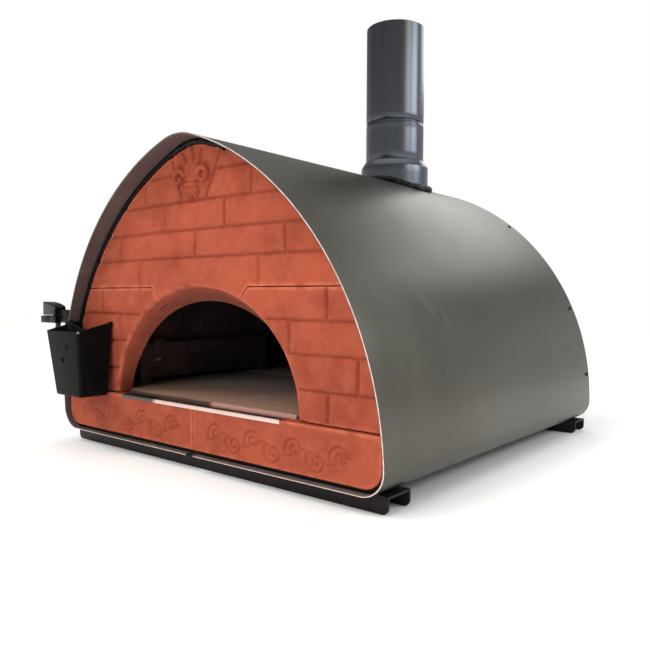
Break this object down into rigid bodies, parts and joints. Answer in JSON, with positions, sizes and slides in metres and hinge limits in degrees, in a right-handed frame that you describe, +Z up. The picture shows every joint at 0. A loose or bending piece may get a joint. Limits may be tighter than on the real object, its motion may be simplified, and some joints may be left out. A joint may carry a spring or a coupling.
{
  "type": "wood fired pizza oven",
  "caption": "Insulated arched steel oven with a cast terracotta front, tiled floor, rear flue, two foot channels and a clip-on side pocket with an adjustable clamp.",
  "frame": {"origin": "on the ground, at the middle of the underside of the front foot channel's front flange", "axes": "+Z up, the oven's front looks towards -Y, +X to the right seen from the front"},
  "size_m": [1.0315, 1.0516, 1.0969],
  "materials": {
    "casing_steel": "satin anthracite, slightly metallic",
    "black_steel": "semi-matt black",
    "terracotta": "matt cast terracotta",
    "refractory": "matt refractory tile, sooted towards the back",
    "chamber_steel": "heat-blackened stainless steel",
    "bright_steel": "bright stainless steel",
    "insulation": "ceramic fibre",
    "black_seal": "black fibre rope and silicone",
    "flue_enamel": "semi-gloss blue-black stove enamel",
    "pocket_enamel": "satin black powder coat",
    "clamp_plastic": "glossy black"
  },
  "bodies": {
    "oven": {"casing_screw_crown": "black_steel", "casing_screw_left_1": "black_steel", "casing_screw_left_2": "black_steel", "casing_screw_left_3": "black_steel", "casing_screw_right_1": "black_steel", "casing_screw_right_2": "black_steel", "casing_screw_right_3": "black_steel", "chamber_back": "chamber_steel", "chamber_shell": "chamber_steel", "fire_guard": "chamber_steel", "floor_tile_front_left": "refractory", "floor_tile_front_right": "refractory", "floor_tile_rear_left": "refractory", "floor_tile_rear_right": "refractory", "flue_collar": "flue_enamel", "flue_outlet": "flue_enamel", "flue_sealant": "black_seal", "flue_sleeve": "flue_enamel", "foot_bolt_front_left": "bright_steel", "foot_bolt_front_right": "bright_steel", "foot_bolt_rear_left": "bright_steel", "foot_bolt_rear_right": "bright_steel", "foot_nut_front_left": "bright_steel", "foot_nut_front_right": "bright_steel", "foot_nut_rear_left": "bright_steel", "foot_nut_rear_right": "bright_steel", "front_foot_channel": "black_steel", "front_gasket": "black_seal", "front_left_jamb": "terracotta", "front_right_jamb": "terracotta", "front_top_block": "terracotta", "guard_bolt_1": "bright_steel", "guard_bolt_2": "bright_steel", "guard_bracket": "chamber_steel", "guard_foot_front": "chamber_steel", "guard_foot_rear": "chamber_steel", "hearth_strip": "bright_steel", "insulation_blanket": "insulation", "insulation_board": "insulation", "outer_casing": "casing_steel", "rear_foot_channel": "black_steel", "rear_insulation": "insulation", "rear_panel": "black_steel", "sill_left": "terracotta", "sill_right": "terracotta"},
    "flue_pipe": {"flue_pipe": "flue_enamel"},
    "accessory": {"pocket": "pocket_enamel", "pocket_screw_1": "clamp_plastic", "pocket_screw_2": "clamp_plastic", "hanger": "pocket_enamel", "hanger_tab": "bright_steel", "stem": "chamber_steel"},
    "clamp_head": {"clamp_block": "clamp_plastic", "clamp_bar": "clamp_plastic"},
    "clamp_lever": {"lever": "clamp_plastic", "lever_pin": "bright_steel"}
  },
  "joints": [
    {"name": "flue_pipe_lift", "type": "slide", "parent": "oven", "child": "flue_pipe", "axis": [0, 0, 1], "range_m": [0, 0.1]},
    {"name": "accessory_pull_off", "type": "slide", "parent": "oven", "child": "accessory", "axis": [0, -1, 0], "range_m": [0, 0.08]},
    {"name": "clamp_swivel", "type": "hinge", "parent": "accessory", "child": "clamp_head", "pos_m": [-0.4982, -0.0364, 0.2831], "axis": [0, 0, 1], "range_deg": [-140, 0]},
    {"name": "lever_lift", "type": "hinge", "parent": "clamp_head", "child": "clamp_lever", "pos_m": [-0.4927, -0.0364, 0.322], "axis": [0, 1, 0], "range_deg": [0, 45]}
  ]
}
